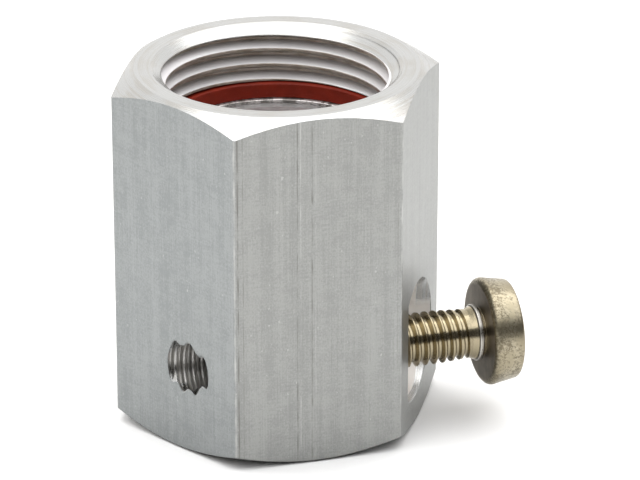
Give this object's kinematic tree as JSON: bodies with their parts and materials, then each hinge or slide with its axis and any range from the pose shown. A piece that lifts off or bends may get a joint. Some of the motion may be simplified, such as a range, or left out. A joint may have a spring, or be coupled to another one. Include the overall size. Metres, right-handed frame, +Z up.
{
  "type": "sight glass fitting",
  "caption": "Hexagonal aluminium sight glass with an internally threaded top, a gasketed flat window and a plain socket below, locked by a brass cross screw.",
  "frame": {"origin": "centre of the bottom face, at the mouth of the plain socket", "axes": "+Z up along the bore towards the threaded end, +X along the lock screw towards its head, flats across Y"},
  "size_m": [0.0422, 0.032, 0.04],
  "materials": {
    "aluminium": "satin drawn bar with bright turned ends",
    "window_glass": "clear flat glass with ground edge",
    "red_silicone": "matt moulded silicone",
    "grey_metal": "dull stamped",
    "brass": "polished thread, pitted pale head",
    "pale_brass": "bright stamped"
  },
  "bodies": {
    "fitting": {"hex_body": "aluminium", "glass_disc": "window_glass", "lower_gasket": "red_silicone", "slip_washer": "grey_metal", "upper_gasket": "red_silicone"},
    "captive_washer": {"screw_washer": "pale_brass"},
    "screw": {"lock_screw": "brass"}
  },
  "joints": [
    {"name": "screw_travel", "type": "slide", "parent": "fitting", "child": "captive_washer", "axis": [1, 0, 0], "range_m": [-0.007, 0.002]},
    {"name": "screw_turn", "type": "hinge", "parent": "captive_washer", "child": "screw", "pos_m": [0.0203, -0.0095, 0.01], "axis": [1, 0, 0], "range_deg": [-2520.2, 720.2]}
  ],
  "couplings": [
    {"joint": "screw_turn", "follows": "screw_travel", "rad_per_m": 6283.2}
  ]
}
